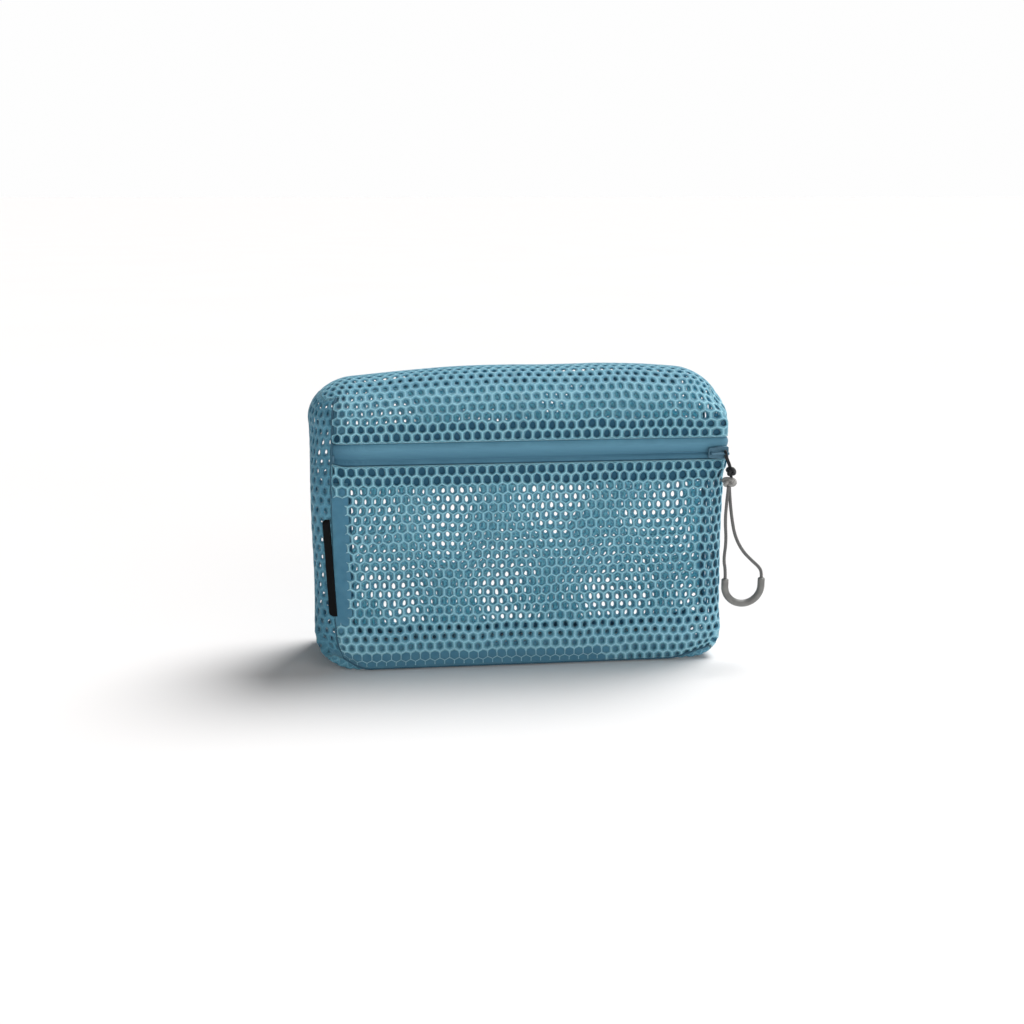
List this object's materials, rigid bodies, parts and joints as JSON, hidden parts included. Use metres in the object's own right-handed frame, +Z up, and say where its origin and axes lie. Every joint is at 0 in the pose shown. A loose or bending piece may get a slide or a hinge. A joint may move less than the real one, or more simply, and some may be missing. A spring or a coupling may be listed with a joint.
{
  "type": "packing cube",
  "caption": "Small blue net packing cube with a domed lid, a zip across the front and a corded U-shaped pull.",
  "frame": {"origin": "middle of the flat base, on the surface that the cube stands on", "axes": "+X to the cube's right along its width, the zipped front faces -Y, +Z up"},
  "size_m": [0.2402, 0.0652, 0.158],
  "materials": {
    "net": "open polyester net, soft satin yarn",
    "binding": "woven polyester binding tape, matte",
    "zip_tape": "coated woven zip tape, soft satin",
    "zip_coil": "nylon coil, satin",
    "label": "black woven ribbon, matte",
    "slider_paint": "satin paint in the tape's colour",
    "steel": "polished wire",
    "black_cord": "braided cord, slight sheen",
    "grey_cord": "braided cord, matte",
    "grey_plastic": "moulded soft-touch plastic"
  },
  "bodies": {
    "bag": {"bottom_panel": "net", "front_panel": "net", "left_side_panel": "net", "right_side_panel": "net", "back_panel": "net", "binding_front_left": "binding", "binding_front_right": "binding", "binding_back_left": "binding", "binding_back_right": "binding", "binding_base": "binding", "binding_hinge": "binding", "side_label": "label", "zip_tape_lower": "zip_tape", "zip_tape_end_left": "zip_tape", "zip_tape_end_right": "zip_tape", "zip_coil_lower": "zip_coil", "zip_coil_end_left": "zip_coil", "zip_coil_end_right": "zip_coil", "zip_bottom_stop": "zip_coil", "zip_top_stop_lower": "zip_coil", "zip_top_stop_upper": "zip_coil"},
    "lid": {"lid_panel": "net", "binding_lid_left": "binding", "zip_tape_upper": "zip_tape", "zip_coil_upper": "zip_coil"},
    "slider": {"slider_body": "slider_paint", "slider_bridge": "steel"},
    "pull_loop": {"loop_cord": "black_cord", "black_knot": "black_cord"},
    "pull_tail": {"grey_knot": "grey_cord", "tail_cord_left": "grey_cord", "tail_cord_right": "grey_cord", "u_tab": "grey_plastic"}
  },
  "joints": [
    {"name": "lid_open", "type": "hinge", "parent": "bag", "child": "lid", "pos_m": [0, 0.02139, 0.15038], "axis": [-1, 0, 0], "range_deg": [0, 75]},
    {"name": "slider_travel", "type": "slide", "parent": "bag", "child": "slider", "axis": [-1, 0, 0], "range_m": [0, 0.193]},
    {"name": "pull_swing", "type": "hinge", "parent": "slider", "child": "pull_loop", "pos_m": [0.103, -0.03295, 0.1144], "axis": [-1, 0, 0], "range_deg": [0, 150]},
    {"name": "pull_sway", "type": "hinge", "parent": "pull_loop", "child": "pull_tail", "pos_m": [0.1092, -0.0333, 0.1051], "axis": [0, 1, 0], "range_deg": [-40, 40]}
  ]
}
